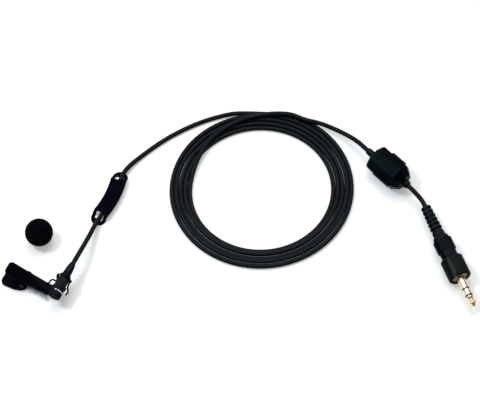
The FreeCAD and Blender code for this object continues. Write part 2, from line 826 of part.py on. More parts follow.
def make_tag():
    """Bent tag with a raised middle: the cord goes over its ends, through the slots, under the middle."""
    half = tag_length / 2
    half_width = tag_width / 2
    end_angle = (half - half_width) / tag_bend_radius
    above = tag_lift + tag_thickness + 1

    def on_bend(offset, angle, height=-1.0):
        reach = tag_bend_radius + offset
        return V(reach * math.cos(angle) - tag_bend_radius, reach * math.sin(angle), height)

    def end_tip(side):
        along = V(-side * math.sin(end_angle), math.cos(end_angle), 0) * (side * half_width)
        return on_bend(0, side * end_angle) + V(along.x * side, along.y, 0)

    edges = [
        Part.Arc(on_bend(half_width, -end_angle), on_bend(half_width, 0), on_bend(half_width, end_angle)),
        Part.Arc(on_bend(half_width, end_angle), end_tip(1), on_bend(-half_width, end_angle)),
        Part.Arc(on_bend(-half_width, end_angle), on_bend(-half_width, 0), on_bend(-half_width, -end_angle)),
        Part.Arc(on_bend(-half_width, -end_angle), end_tip(-1), on_bend(half_width, -end_angle)),
    ]
    plan = Part.Face(Part.Wire([e.toShape() for e in edges])).extrude(V(0, 0, above + 1))
    flat = half - tag_end
    raised = flat - tag_slot_length
    line = [(-half - 1, 0), (-flat, 0), (-raised, tag_lift), (raised, tag_lift), (flat, 0), (half + 1, 0)]
    profile = line + [(y, z + tag_thickness) for y, z in reversed(line)]
    corners = [V(-tag_width, y, z) for y, z in profile]
    body = Part.Face(Part.makePolygon(corners + corners[:1])).extrude(V(2 * tag_width, 0, 0)).common(plan)
    slot_x = tag_slot_width / 2
    slot_y = tag_slot_length / 2
    for side in (-1, 1):
        angle = side * (flat + raised) / 2 / tag_bend_radius
        turn = FreeCAD.Rotation(V(0, 0, 1), math.degrees(angle))
        slot = box((-slot_x, -slot_y, -1), (slot_x, slot_y, above))
        slot.Placement = FreeCAD.Placement(on_bend(0, angle, 0), turn)
        body = body.cut(slot)
    keep("label_tag", body.removeSplitter(), tag_place)


def coil_place(turn, turns):
    """Radius and height of the coil's cord after this many turns: inwards below, then outwards above."""
    half = turns / 2
    if turn <= half:
        radius = coil_start_radius + (coil_inner_radius - coil_start_radius) * turn / half
    else:
        radius = coil_inner_radius + (coil_end_radius - coil_inner_radius) * (turn - half) / half
    climbed = min(1.0, max(0.0, (turn - half) / coil_climb + 0.5))
    return radius, cord_radius + coil_layer_step * climbed


def coil_route():
    """Places and directions of the coil's cord at each quarter turn or so."""
    turns = coil_turns + (coil_start_angle - coil_end_angle) / 360
    spans = 4 * coil_turns
    places = []
    directions = []
    for k in range(spans + 1):
        turn = turns * k / spans
        angle = math.radians(coil_start_angle - 360 * turn)
        radius, height = coil_place(turn, turns)
        places.append(V(coil_x + radius * math.cos(angle), coil_y + radius * math.sin(angle), height))
        half = turns / 2
        if abs(turn - half) < 1e-6:
            drift = 0.0
        elif turn < half:
            drift = (coil_inner_radius - coil_start_radius) / half
        else:
            drift = (coil_end_radius - coil_inner_radius) / half
        climb = coil_layer_step / coil_climb if abs(turn - half) < 1e-6 else 0.0
        around = 2 * math.pi * radius
        direction = V(
            math.sin(angle) * around + math.cos(angle) * drift,
            -math.cos(angle) * around + math.sin(angle) * drift,
            climb,
        )
        directions.append(direction.normalize())
    return places, directions


def make_coil():
    """The loops of cord, one unbroken tube with a straight cord's width at each end."""
    places, directions = coil_route()
    lead_in = places[0] - directions[0] * cord_diameter
    lead_out = places[-1] + directions[-1] * cord_diameter
    edges = [Part.LineSegment(lead_in, places[0]).toShape()]
    edges += biarc_chain(places, directions)
    edges.append(Part.LineSegment(places[-1], lead_out).toShape())
    coil = swept(edges, cord_diameter)
    keep("cable_coil", coil)
    length = sum(e.Length for e in edges)
    ratio = coil.Volume / (math.pi * cord_radius ** 2 * length)
    print("coil length", round(length, 1), "volume ratio", round(ratio, 4))
    print("coil gap to itself", round(least_gap(edges, cord_diameter, 4 * math.pi * cord_diameter), 3))
    return lead_in, directions[0], lead_out, directions[-1]


def cord_tube(name, route):
    """Free stretch of cord along a route, with its radii and volume printed."""
    edges, radii = rounded_route(route)
    tube = swept(edges, cord_diameter)
    length = sum(e.Length for e in edges)
    ratio = tube.Volume / (math.pi * cord_radius ** 2 * length)
    print(name, "length", round(length, 1), "volume ratio", round(ratio, 4))
    print("  radii", [round(r, 1) for r in radii], "least", round(min(radii), 1))
    keep(name, tube)


def make_cord():
    """Coil and the two free stretches of cord."""
    coil_in, in_direction, coil_out, out_direction = make_coil()
    before_coil = coil_in - in_direction * straight_to_coil
    after_coil = coil_out + out_direction * straight_from_coil
    cord_tube("cable_mic_lead", [
        (barrel_axis_x, barrel_front_y + crimp_end - crimp_length, barrel_axis_z),
        (barrel_axis_x, boot_end_y + straight_from_boot, barrel_axis_z),
        (10.4, 18.7, 4.5),
        (9.4, 27.4, 2.75),
        (9.3, 32.4, 1.08),
        (9.4, 38.5, 1.08),
        (9.2, 45.2, 1.08),
        (8.8, 51.0, 1.08),
        (8.4, 55.8, 2.2),
        (9.2, 61.2, 1.5),
        (11.4, 67.2, cord_radius),
        (14.3, 74.1, cord_radius),
        (18.2, 81.7, cord_radius),
        (23.2, 89.4, cord_radius),
        (29.3, 97.0, cord_radius),
        (35.9, 103.2, cord_radius),
        tuple(before_coil),
        tuple(coil_in),
    ])
    case_axis = heading(case_heading)
    case_middle = V(case_x, case_y, case_axis_z)
    case_in = case_length / 2 + grommet_in_outside + straight_at_case
    case_out = case_length / 2 + grommet_out_outside + straight_at_case
    plug_start = V(plug_x, plug_y, plug_axis_z)
    plug_axis = heading(plug_heading)
    cord_tube("cable_plug_lead", [
        tuple(coil_out),
        tuple(after_coil),
        (77.6, 116.5, 3.2),
        (84.5, 116.7, 2.9),
        (91.5, 115.8, 3.4),
        (97.7, 113.5, 5.3),
        tuple(case_middle - case_axis * case_in),
        tuple(case_middle + case_axis * case_out),
        (133.4, 98.1, 5.8),
        tuple(plug_start - plug_axis * straight_to_plug),
        tuple(plug_start),
    ])


def octagon(across, x):
    """Regular octagon about X, with a flat on top."""
    corner = across / 2 / math.cos(math.pi / 8)
    angles = [math.pi / 8 + k * math.pi / 4 for k in range(8)]
    points = [V(x, corner * math.cos(a), corner * math.sin(a)) for a in angles]
    return Part.makePolygon(points + points[:1])


def make_case():
    """Ferrite case about X through its middle: two hinged shells, two core halves and the end grommets."""
    half = case_length / 2
    sections = [
        octagon(case_in_across, -half),
        octagon(case_across, -half + case_in_taper),
        octagon(case_across, half - case_out_taper),
        octagon(case_out_across, half),
    ]
    body = Part.makeLoft(sections, True, True)
    core_half = core_length / 2
    pocket_half = core_half + seat_gap
    body = body.cut(rod(core_diameter + 2 * seat_gap, (-pocket_half, 0, 0), (pocket_half, 0, 0)))
    body = body.cut(rod(grommet_diameter + 2 * seat_gap, (-half - 1, 0, 0), (half + 1, 0, 0)))
    wide = case_across
    lower = body.common(box((-half - 1, -wide, -wide), (half + 1, wide, -case_split / 2)))
    upper = body.common(box((-half - 1, -wide, case_split / 2), (half + 1, wide, wide)))
    side = case_across / 2
    tab_start = latch_offset - latch_length / 2
    tab_end = latch_offset + latch_length / 2
    outside = side + latch_thickness
    tab = box((tab_start, side, -latch_reach), (tab_end, outside, latch_reach))
    rib_top = latch_thickness - latch_reach
    rib = box((tab_start, outside, -latch_reach), (tab_end, outside + latch_rib, rib_top))
    relief = box(
        (tab_start - latch_gap, side - latch_gap / 2, -side),
        (tab_end + latch_gap, outside, -case_split / 2),
    )
    keep("case_base", lower.cut(relief), case_place)
    keep("case_lid", upper.fuse(tab).fuse(rib).removeSplitter(), case_place)
    hinge_half = hinge_length / 2
    strip = box((-hinge_half, -side - hinge_thickness, -hinge_reach), (hinge_half, -side, hinge_reach))
    keep("case_hinge", strip, case_place)
    core = pipe(core_diameter, core_bore_diameter, -core_half, core_half)
    keep("core_lower", core.common(box((-half, -wide, -wide), (half, wide, -case_split / 2))), case_place)
    keep("core_upper", core.common(box((-half, -wide, case_split / 2), (half, wide, wide))), case_place)
    grommet_bore = cord_diameter + 2 * seat_gap
    grommet_in = pipe(grommet_diameter, grommet_bore, -half - grommet_in_outside, grommet_inside - half)
    grommet_out = pipe(grommet_diameter, grommet_bore, half - grommet_inside, half + grommet_out_outside)
    keep("case_grommets", Part.makeCompound([grommet_in, grommet_out]), case_place)


def make_plug_boot():
    """Ribbed strain relief of the plug."""
    ribbed = plug_boot_ribs * (plug_boot_rib + plug_boot_rib_gap)
    grow = (plug_boot_end_diameter - plug_boot_start_diameter) / 2
    outline = [(0, 0)]
    for k in range(plug_boot_ribs):
        start = k * (plug_boot_rib + plug_boot_rib_gap)
        radius = plug_boot_start_diameter / 2 + grow * k / plug_boot_ribs
        outline += [
            (start, radius),
            (start + plug_boot_rib, radius),
            (start + plug_boot_rib, plug_boot_core_diameter / 2),
            (start + plug_boot_rib + plug_boot_rib_gap, plug_boot_core_diameter / 2),
        ]
    outline += [
        (ribbed, plug_boot_end_diameter / 2),
        (plug_boot_length, plug_boot_end_diameter / 2),
        (plug_boot_length, grip_bore_diameter / 2 - seat_gap - plug_boot_ledge),
        (plug_boot_length + plug_boot_spigot, grip_bore_diameter / 2 - seat_gap - plug_boot_ledge),
        (plug_boot_length + plug_boot_spigot, 0),
    ]
    keep("plug_boot", turned(outline), plug_place)


grip_end = plug_boot_length + grip_collar + grip_ribbed + grip_neck
nut_start = grip_end + nut_gap
nut_end = nut_start + nut_length
flange_front = nut_end - flange_recess
flange_back = flange_front - flange_thickness
shaft_end = flange_front + shaft_length


def make_plug_grip():
    """Moulded grip: collar, fine rings and neck, hollow for the lugs and the core's tail."""
    collar_end = plug_boot_length + grip_collar
    ribbed_end = collar_end + grip_ribbed
    outer = grip_diameter / 2
    spigot_bore = grip_bore_diameter / 2 - plug_boot_ledge
    outline = [
        (plug_boot_length, spigot_bore),
        (plug_boot_length, plug_boot_end_diameter / 2 + grip_rim),
        (plug_boot_length + grip_bevel, grip_collar_diameter / 2),
        (collar_end, grip_collar_diameter / 2),
        (collar_end, outer),
    ]
    step = grip_ribbed / grip_rings
    for k in range(grip_rings):
        start = collar_end + k * step
        outline += [
            (start + grip_ring_width, outer),
            (start + grip_ring_width, outer - grip_ring_depth),
            (start + step, outer - grip_ring_depth),
        ]
        if k < grip_rings - 1:
            outline.append((start + step, outer))
    outline += [
        (ribbed_end, grip_neck_diameter / 2),
        (grip_end, grip_neck_diameter / 2),
        (grip_end, grip_bore_diameter / 2),
        (plug_boot_length + plug_boot_spigot, grip_bore_diameter / 2),
        (plug_boot_length + plug_boot_spigot, spigot_bore),
    ]
    keep("plug_grip", turned(outline), plug_place)


def make_plug_core():
    """Metal core: tail in the grip, neck for the nut, and the front flange."""
    tail_start = grip_end - core_tail
    bore = shaft_diameter / 2 - sleeve_step + seat_gap
    keep("plug_core", turned([
        (tail_start, bore),
        (tail_start, grip_bore_diameter / 2 - seat_gap),
        (grip_end, grip_bore_diameter / 2 - seat_gap),
        (grip_end, core_neck_diameter / 2),
        (flange_back, core_neck_diameter / 2),
        (flange_back, flange_diameter / 2),
        (flange_front, flange_diameter / 2),
        (flange_front, bore),
    ]), plug_place)


def make_nut():
    """Lock nut and the split ring that travels with it along the core's neck."""
    collar_bore = core_neck_diameter / 2 + running_gap
    mouth = nut_bore_diameter / 2
    outer = nut_diameter / 2
    ring_front = flange_back - nut_travel - nut_stop_gap
    ring_back = ring_front - snap_ring_thickness
    ring_radius = snap_ring_diameter / 2
    nut = turned([
        (nut_start, collar_bore),
        (nut_start, outer - nut_bevel),
        (nut_start + nut_bevel, outer),
        (nut_end - nut_bevel / 2, outer),
        (nut_end, outer - nut_bevel / 2),
        (nut_end, mouth),
        (ring_front + running_gap, mouth),
        (ring_front + running_gap, ring_radius + running_gap),
        (ring_back - running_gap, ring_radius + running_gap),
        (ring_back - running_gap, mouth),
        (nut_start + nut_rear_collar, mouth),
        (nut_start + nut_rear_collar, collar_bore),
    ])
    keep("lock_nut", nut, plug_place)
    ring = pipe(snap_ring_diameter, core_neck_diameter + 2 * running_gap, ring_back, ring_front)
    split_half = snap_ring_split / 2
    ring = ring.cut(box((ring_back - 1, 0, -split_half), (ring_front + 1, ring_radius + 1, split_half)))
    keep("nut_snap_ring", ring, plug_place)


def make_contacts():
    """Tip, ring and sleeve contacts, the insulators between them, and their solder lugs."""
    shaft = shaft_diameter / 2
    tip_start = shaft_end - tip_length
    front_insulator_start = tip_start - insulator_ring
    ring_start = front_insulator_start - ring_length
    rear_insulator_start = ring_start - insulator_ring
    lug_space = grip_end - core_tail
    rod_radius = tip_rod_diameter / 2
    inner_tube = rod_radius + tube_wall
    ring_tube = inner_tube + tube_wall
    outer_tube = ring_tube + tube_wall
    tip_back = lug_space - tip_tail
    ring_back = lug_space - ring_tail
    sleeve_back = lug_space
    keep("tip_contact", turned([
        (tip_back, 0),
        (tip_back, rod_radius),
        (tip_start, rod_radius),
        (tip_start, shaft),
        (tip_start + tip_straight, shaft),
        (tip_start + tip_neck_start, tip_neck_diameter / 2),
        (tip_start + tip_neck_end, tip_neck_diameter / 2),
        (tip_start + tip_shoulder, tip_shoulder_diameter / 2),
        (tip_start + tip_cone, tip_cone_diameter / 2),
        (shaft_end - tip_nose, tip_nose_diameter / 2),
        (shaft_end, tip_point_diameter / 2),
        (shaft_end, 0),
    ]), plug_place)
    front = turned([
        (tip_back + tail_bare, rod_radius),
        (tip_back + tail_bare, inner_tube),
        (front_insulator_start, inner_tube),
        (front_insulator_start, shaft - insulator_recess),
        (tip_start, shaft - insulator_recess),
        (tip_start, rod_radius),
    ])
    rear = turned([
        (ring_back + tail_bare, ring_tube),
        (ring_back + tail_bare, outer_tube),
        (rear_insulator_start, outer_tube),
        (rear_insulator_start, shaft - insulator_recess),
        (ring_start, shaft - insulator_recess),
        (ring_start, ring_tube),
    ])
    keep("plug_insulators", Part.makeCompound([front, rear]), plug_place)
    keep("ring_contact", turned([
        (ring_back, inner_tube),
        (ring_back, ring_tube),
        (ring_start, ring_tube),
        (ring_start, shaft),
        (front_insulator_start, shaft),
        (front_insulator_start, inner_tube),
    ]), plug_place)
    keep("sleeve_contact", turned([
        (sleeve_back, outer_tube),
        (sleeve_back, shaft - sleeve_step),
        (flange_front, shaft - sleeve_step),
        (flange_front, shaft),
        (rear_insulator_start, shaft),
        (rear_insulator_start, outer_tube),
    ]), plug_place)
    low_corner = (tip_back - lug_length, -lug_thickness / 2, -rod_radius)
    lugs = [box(low_corner, (tip_back, lug_thickness / 2, rod_radius))]
    for back, radius, side in ((ring_back, inner_tube, -1), (sleeve_back, outer_tube, 1)):
        low = side * radius if side > 0 else -radius - lug_thickness
        lugs.append(box((back - lug_length, low, -lug_width / 2), (back, low + lug_thickness, lug_width / 2)))
    keep("solder_lugs", Part.makeCompound(lugs), plug_place)


make_head()
make_upper_arm()
make_upper_teeth()
make_tooth_plate()
make_lower_lever()
make_pin()
make_spring()
make_cradle()
make_keeper_wire()
make_windscreen()
make_tag()
make_cord()
make_case()
make_plug_boot()
make_plug_grip()
make_plug_core()
make_nut()
make_contacts()

os.makedirs("parts", exist_ok=True)
for name, shape in nodes.items():
    if not shape.isValid():
        print("not valid:", name)
    if any(solid.Volume <= 0 for solid in shape.Solids) or not shape.Solids:
        print("no solid:", name)
    shape.exportStep("parts/" + name + ".step")
print(len(nodes), "nodes")
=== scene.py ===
import bpy
import bmesh
import math
from mathutils import Matrix, Vector, noise
from mathutils.geometry import delaunay_2d_cdt


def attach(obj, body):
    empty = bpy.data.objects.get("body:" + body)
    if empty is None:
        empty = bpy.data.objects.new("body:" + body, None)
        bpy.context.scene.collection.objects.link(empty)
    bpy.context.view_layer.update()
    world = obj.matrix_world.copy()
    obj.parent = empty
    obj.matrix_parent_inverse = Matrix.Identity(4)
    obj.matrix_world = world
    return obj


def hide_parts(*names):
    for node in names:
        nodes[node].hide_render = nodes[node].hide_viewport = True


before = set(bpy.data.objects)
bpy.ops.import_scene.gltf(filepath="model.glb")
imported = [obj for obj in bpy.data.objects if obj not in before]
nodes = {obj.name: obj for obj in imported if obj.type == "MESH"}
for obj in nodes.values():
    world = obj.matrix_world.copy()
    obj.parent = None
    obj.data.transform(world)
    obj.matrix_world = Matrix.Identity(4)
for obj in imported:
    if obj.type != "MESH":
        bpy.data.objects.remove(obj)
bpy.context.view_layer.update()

# The table that the microphone lies on: a sheet of smooth white card, with a wide soft lamp above it and a
# small one at the left. The camera stands at the front right, 60 degrees above the table.
mm = 0.001
look_at = Vector((63.47, 61.26, 0.0)) * mm
camera_at = Vector((211.4, -255.9, 606.2)) * mm
camera_lens = 118.1
table_half = 1500 * mm
table_white = (0.93, 0.93, 0.93, 1)
table_lift = 0.3

camera = bpy.data.objects.new("camera", bpy.data.cameras.new("camera"))
camera.data.lens = camera_lens
camera.data.sensor_width = 36
camera.data.clip_start = 10 * mm
camera.data.clip_end = 5
camera.location = camera_at
camera.rotation_mode = "QUATERNION"
camera.rotation_quaternion = (look_at - camera_at).to_track_quat("-Z", "Y")
bpy.context.collection.objects.link(camera)
bpy.context.scene.camera = camera
bpy.context.scene.view_settings.view_transform = "Standard"


def nodes_of(material):
    """Emptied node tree of a material with a Principled shader on its output."""
    material.use_nodes = True
    tree = material.node_tree
    tree.nodes.clear()
    out = tree.nodes.new("ShaderNodeOutputMaterial")
    shader = tree.nodes.new("ShaderNodeBsdfPrincipled")
    tree.links.new(shader.outputs["BSDF"], out.inputs["Surface"])
    return tree, shader


table_mesh = bpy.data.meshes.new("table")
corners = [(-1, -1), (1, -1), (1, 1), (-1, 1)]
table_mesh.from_pydata([(look_at.x + x * table_half, look_at.y + y * table_half, 0) for x, y in corners], [],
                       [(0, 1, 2, 3)])
table = bpy.data.objects.new("table", table_mesh)
bpy.context.collection.objects.link(table)
card = bpy.data.materials.new("white_card")
tree, shader = nodes_of(card)
shader.inputs["Base Color"].default_value = table_white
ray = tree.nodes.new("ShaderNodeLightPath")
seen = ray.outputs["Is Camera Ray"]
for kind in ("Is Glossy Ray", "Is Transmission Ray"):
    either = tree.nodes.new("ShaderNodeMath")
    either.operation = "MAXIMUM"
    tree.links.new(seen, either.inputs[0])
    tree.links.new(ray.outputs[kind], either.inputs[1])
    seen = either.outputs[0]
lift = tree.nodes.new("ShaderNodeMath")
lift.operation = "MULTIPLY"
lift.inputs[1].default_value = table_lift
tree.links.new(seen, lift.inputs[0])
tree.links.new(lift.outputs[0], shader.inputs["Emission Strength"])
shader.inputs["Emission Color"].default_value = (1, 1, 1, 1)
shader.inputs["Roughness"].default_value = 0.9
shader.inputs["Specular IOR Level"].default_value = 0.1
table_mesh.materials.append(card)

# The studio round the table: white at its level and below, dim higher up, and paler again straight above.
# Each step is a height, from 0 at the table's level to 1 straight above, and the brightness there.
studio_steps = [(0.0, 1.0), (0.1, 0.9), (0.22, 0.12), (0.72, 0.14), (0.88, 0.5), (1.0, 0.6)]
world = bpy.data.worlds.new("studio")
bpy.context.scene.world = world
world.use_nodes = True
tree = world.node_tree
tree.nodes.clear()
out = tree.nodes.new("ShaderNodeOutputWorld")
height = tree.nodes.new("ShaderNodeSeparateXYZ")
tree.links.new(tree.nodes.new("ShaderNodeTexCoord").outputs["Generated"], height.inputs[0])
fade = tree.nodes.new("ShaderNodeValToRGB")
while len(fade.color_ramp.elements) < len(studio_steps):
    fade.color_ramp.elements.new(0.5)
for stop, (place, level) in zip(fade.color_ramp.elements, studio_steps):
    stop.position = place
    stop.color = (level, level, level, 1)
tree.links.new(height.outputs["Z"], fade.inputs["Fac"])
air = tree.nodes.new("ShaderNodeBackground")
tree.links.new(fade.outputs["Color"], air.inputs["Color"])
tree.links.new(air.outputs[0], out.inputs[0])

for name, place, size, power, tint in [
    ("lamp_left", (-340, -60, 700), 180, 2.6, (0.86, 0.96, 1.0)),
    ("lamp_above", (-110, 430, 850), 600, 3.4, (0.97, 0.99, 1.0)),
]:
    lamp = bpy.data.objects.new(name, bpy.data.lights.new(name, "AREA"))
    lamp.data.size = size * mm
    lamp.data.energy = power
    lamp.data.color = tint
    lamp.location = Vector(place) * mm
    lamp.rotation_mode = "QUATERNION"
    lamp.rotation_quaternion = (look_at - lamp.location).to_track_quat("-Z", "Y")
    bpy.context.collection.objects.link(lamp)

# The cord: a thin round cable of 2.1 mm with a smooth soft black jacket, moulded in one length from the
# microphone's boot to the plug. It is threaded through the tag, wound by hand into five loose turns that lie
# beside and partly on each other, crosses them on top, and runs through the ferrite case.
cord_radius = 1.05
boot_end = (11.7, 2.1, 8.45)
plug_start = (138.4, 94.4, 5.05)
mic_lead = [
    boot_end, (11.7, 7.3, 8.45), (10.4, 18.7, 4.5), (9.4, 27.4, 2.75), (9.3, 32.4, 1.08), (9.4, 38.5, 1.08),
    (9.2, 45.2, 1.08), (8.8, 51.0, 1.08), (8.4, 55.8, 2.2), (9.2, 61.2, 1.5), (11.4, 67.2, 1.05),
    (14.3, 74.1, 1.05), (18.2, 81.7, 1.05), (23.2, 89.4, 1.05), (29.3, 97.0, 1.05), (35.9, 103.2, 1.05),
    (41.6, 107.4, 1.05),
]
plug_lead = [
    (70.6, 115.1, 3.3), (77.6, 116.5, 3.2), (84.5, 116.7, 2.9), (91.5, 115.8, 3.4), (97.7, 113.5, 5.3),
    (102.59, 110.74, 6.49), (129.01, 100.06, 6.49), (133.4, 98.1, 5.8), (136.13, 96.66, 5.05),
    plug_start,
]
coil_middle = (67.7, 75.0)
coil_start = 118.0
coil_turns = 4.83
points_per_turn = 14
outer_radius = 41.0
outer_oval, oval_towards = 0.45, 110
outer_shift, shift_towards = 0.6, -15
turn_step = 2.03
step_swing, loose_side = 0.26, 115
rise_height, rise_from, rise_over = 1.25, 0.2, 0.3
crossing = [(166, 32.9, 3.05), (151, 33.6, 3.3), (136, 34.8, 3.3), (121, 36.2, 3.3), (108, 37.9, 3.3),
            (95, 39.7, 3.35)]


def on_coil(degrees, radius, height):
    """Place on the coil, where the control point stands a little outside the cord's own line."""
    reach = radius / math.cos(math.pi / points_per_turn)
    angle = math.radians(degrees)
    return (coil_middle[0] + reach * math.cos(angle), coil_middle[1] + reach * math.sin(angle), height)


def loose_turns():
    """The turns wound inwards: every second one rises onto its neighbours where they are drawn together."""
    places = []
    for k in range(1, int(coil_turns * points_per_turn) + 1):
        turn = k / points_per_turn
        degrees = coil_start - 360 * turn
        angle = math.radians(degrees)
        loose = math.cos(angle - math.radians(loose_side))
        outer = (outer_radius + outer_oval * math.cos(2 * angle - math.radians(oval_towards))
                 - outer_shift * math.cos(angle - math.radians(shift_towards)))
        drawn = min(1, max(0, (0.5 - 0.5 * loose - rise_from) / rise_over))
        rise = rise_height * drawn * drawn * (3 - 2 * drawn) if int(turn) % 2 else 0.0
        places.append(on_coil(degrees, outer - (turn_step + step_swing * loose) * turn, cord_radius + rise))
    return places


def spline_of(name, places, radius):
    """Round bar on one open spline that has these places, in millimetres, as its control points."""
    curve = bpy.data.curves.new(name, "CURVE")
    curve.dimensions = "3D"
    curve.bevel_depth = radius * mm
    curve.bevel_resolution = 5
    curve.resolution_u = 10
    curve.use_fill_caps = True
    spline = curve.splines.new("NURBS")
    spline.points.add(len(places) - 1)
    for point, place in zip(spline.points, places):
        point.co = (place[0] * mm, place[1] * mm, place[2] * mm, 1)
    spline.order_u = 3
    spline.use_endpoint_u = True
    piece = bpy.data.objects.new(name, curve)
    bpy.context.collection.objects.link(piece)
    return piece


def grained(name, colour, roughness, grain=0.25, depth=0.02, patch=6.0, vary=0.25, metal=0.0, painted_top_light=None,
            worn=None, specular=0.5, tint=None):
    """Finish with fine grain, cloudy colour and roughness, a painted highlight on the faces that look up, and
    edges that are rubbed lighter. Sizes in mm."""
    material = bpy.data.materials.new(name)
    tree, shader = nodes_of(material)
    link = tree.links.new
    place = tree.nodes.new("ShaderNodeTexCoord").outputs["Object"]

    def cloud(size, detail):
        texture = tree.nodes.new("ShaderNodeTexNoise")
        texture.inputs["Scale"].default_value = 1 / (size * mm)
        texture.inputs["Detail"].default_value = detail
        link(place, texture.inputs["Vector"])
        return texture.outputs["Fac"]

    def between(value, low, high, start, end):
        scale = tree.nodes.new("ShaderNodeMapRange")
        scale.interpolation_type = "SMOOTHSTEP"
        for socket, number in zip(("From Min", "From Max", "To Min", "To Max"), (low, high, start, end)):
            scale.inputs[socket].default_value = number
        link(value, scale.inputs["Value"])
        return scale.outputs["Result"]

    def blended(share, first, second):
        mixer = tree.nodes.new("ShaderNodeMix")
        mixer.data_type = "RGBA"
        link(share, mixer.inputs["Factor"])
        for socket, value in ((mixer.inputs["A"], first), (mixer.inputs["B"], second)):
            if isinstance(value, tuple):
                socket.default_value = (*value, 1)
            else:
                link(value, socket)
        return mixer.outputs["Result"]

    darker = tuple(c * (1 - vary) for c in colour)
    lighter = tuple(min(1, c * (1 + vary)) for c in colour)
    shade = blended(between(cloud(patch, 4), 0.35, 0.65, 0, 1), darker, lighter)
    # Painted highlight: the colour grows lighter as the face turns up, standing in for light from above.
    if painted_top_light:
        upward = tree.nodes.new("ShaderNodeSeparateXYZ")
        link(tree.nodes.new("ShaderNodeTexCoord").outputs["Normal"], upward.inputs[0])
        shade = blended(between(upward.outputs["Z"], 0.45, 1.0, 0, 1), shade, painted_top_light)
    if worn:
        edge = between(tree.nodes.new("ShaderNodeNewGeometry").outputs["Pointiness"], 0.52, 0.6, 0, 1)
        shade = blended(edge, shade, worn)
    link(shade, shader.inputs["Base Color"])
    dull = between(cloud(patch / 3, 5), 0.3, 0.7, roughness * 0.85, min(1, roughness * 1.15))
    link(dull, shader.inputs["Roughness"])
    bump = tree.nodes.new("ShaderNodeBump")
    bump.inputs["Strength"].default_value = 1
    bump.inputs["Distance"].default_value = depth * mm
    link(cloud(grain, 2), bump.inputs["Height"])
    link(bump.outputs["Normal"], shader.inputs["Normal"])
    shader.inputs["Metallic"].default_value = metal
    shader.inputs["Specular IOR Level"].default_value = specular
    if tint:
        shader.inputs["Specular Tint"].default_value = (*tint, 1)
    return material


top_lead = [on_coil(*place) for place in crossing]
cord = spline_of("cord", mic_lead + loose_turns() + top_lead + plug_lead, cord_radius)
# The jacket's lighter top is a painted highlight along the cord.
cord_jacket = grained("cord_jacket", (0.003, 0.0036, 0.004), 0.4, grain=0.35, depth=0.012, patch=9,
                      painted_top_light=(0.0135, 0.0185, 0.0205), specular=0.03)
cord.data.materials.append(cord_jacket)
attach(cord, "microphone")
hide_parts("cable_mic_lead", "cable_coil", "cable_plug_lead")
on_cord = ["case_base", "case_lid", "case_hinge", "core_lower", "core_upper", "plug_core", "nut_snap_ring",
           "sleeve_contact", "ring_contact", "plug_insulators", "solder_lugs"]

# The microphone's head: a turned tube of thin metal in hard satin black, closed at the front by a pressed cap
# with seven sound holes over a fine mesh. The capsule and its round board are pushed in from the rear.
head_front = Vector((11.7, -15.2, 8.45))
head_at = Matrix.Translation(head_front * mm) @ Matrix.Rotation(math.radians(90), 4, "Z")
ease_steps = 4
ease_share = 0.42


def eased(outline, ease):
    """Outline with each corner rounded off by up to this much."""
    points = [Vector(p) for p in outline]
    soft = [points[0]]
    for before, corner, after in zip(points, points[1:], points[2:]):
        back = before - corner
        on = after - corner
        cut = min(ease, ease_share * back.length, ease_share * on.length)
        start = corner + back.normalized() * cut
        end = corner + on.normalized() * cut
        for step in range(ease_steps + 1):
            share = step / ease_steps
            soft.append(start * (1 - share) ** 2 + corner * 2 * share * (1 - share) + end * share ** 2)
    return soft + [points[-1]]


def made(name, points, faces, material, at=Matrix(), crease=38):
    """Piece of this object from points in millimetres and their faces, smooth but for its creases."""
    mesh = bpy.data.meshes.new(name)
    mesh.from_pydata([at @ (Vector(p) * mm) for p in points], [], faces)
    work = bmesh.new()
    work.from_mesh(mesh)
    bmesh.ops.remove_doubles(work, verts=work.verts, dist=0.001 * mm)
    bmesh.ops.recalc_face_normals(work, faces=work.faces)
    for face in work.faces:
        face.smooth = True
    for edge in work.edges:
        edge.smooth = len(edge.link_faces) == 2 and edge.calc_face_angle(0) < math.radians(crease)
    work.to_mesh(mesh)
    work.free()
    mesh.materials.append(material)
    piece = bpy.data.objects.new(name, mesh)
    bpy.context.collection.objects.link(piece)
    return piece


def turned(name, outline, material, at, ease=0.12, steps=72):
    """Piece turned about its own X axis from an outline of (along, radius)."""
    soft = eased(outline, ease)
    on_axis = [radius < 1e-6 for along, radius in soft]
    points = []
    faces = []
    for k in range(steps):
        angle = 2 * math.pi * k / steps
        points += [(along, radius * math.cos(angle), radius * math.sin(angle)) for along, radius in soft]
    count = len(soft)
    for k in range(steps):
        ring = k * count
        following = (k + 1) % steps * count
        for i in range(count - 1):
            corners = [ring + i, ring + i + 1, following + i + 1, following + i]
            if on_axis[i]:
                corners.remove(following + i)
            if on_axis[i + 1]:
                corners.remove(following + i + 1)
            if len(corners) > 2:
                faces.append(corners)
    return made(name, points, faces, material, at)


def dress(material, *names, ease=0.0):
    """Gives CAD pieces their finish, and with ease breaks their sharp edges by that many millimetres."""
    for name in names:
        piece = nodes[name]
        if not piece.material_slots:
            piece.data.materials.append(material)
        for place in piece.material_slots:
            place.material = material
        if ease:
            weld = piece.modifiers.new("joined", "WELD")
            weld.merge_threshold = 0.002 * mm
            broken = piece.modifiers.new("broken_edges", "BEVEL")
            broken.width = ease * mm
            broken.segments = 2
            broken.limit_method = "ANGLE"
            broken.angle_limit = math.radians(40)
            broken.harden_normals = False
            even = piece.modifiers.new("even", "WEIGHTED_NORMAL")
            even.keep_sharp = True


def fit(piece, body, slot, *replaced):
    """Fixes a piece on the body that carries it, in place of the plain solids that it stands for."""
    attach(piece, body)
    if replaced:
        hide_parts(*replaced)


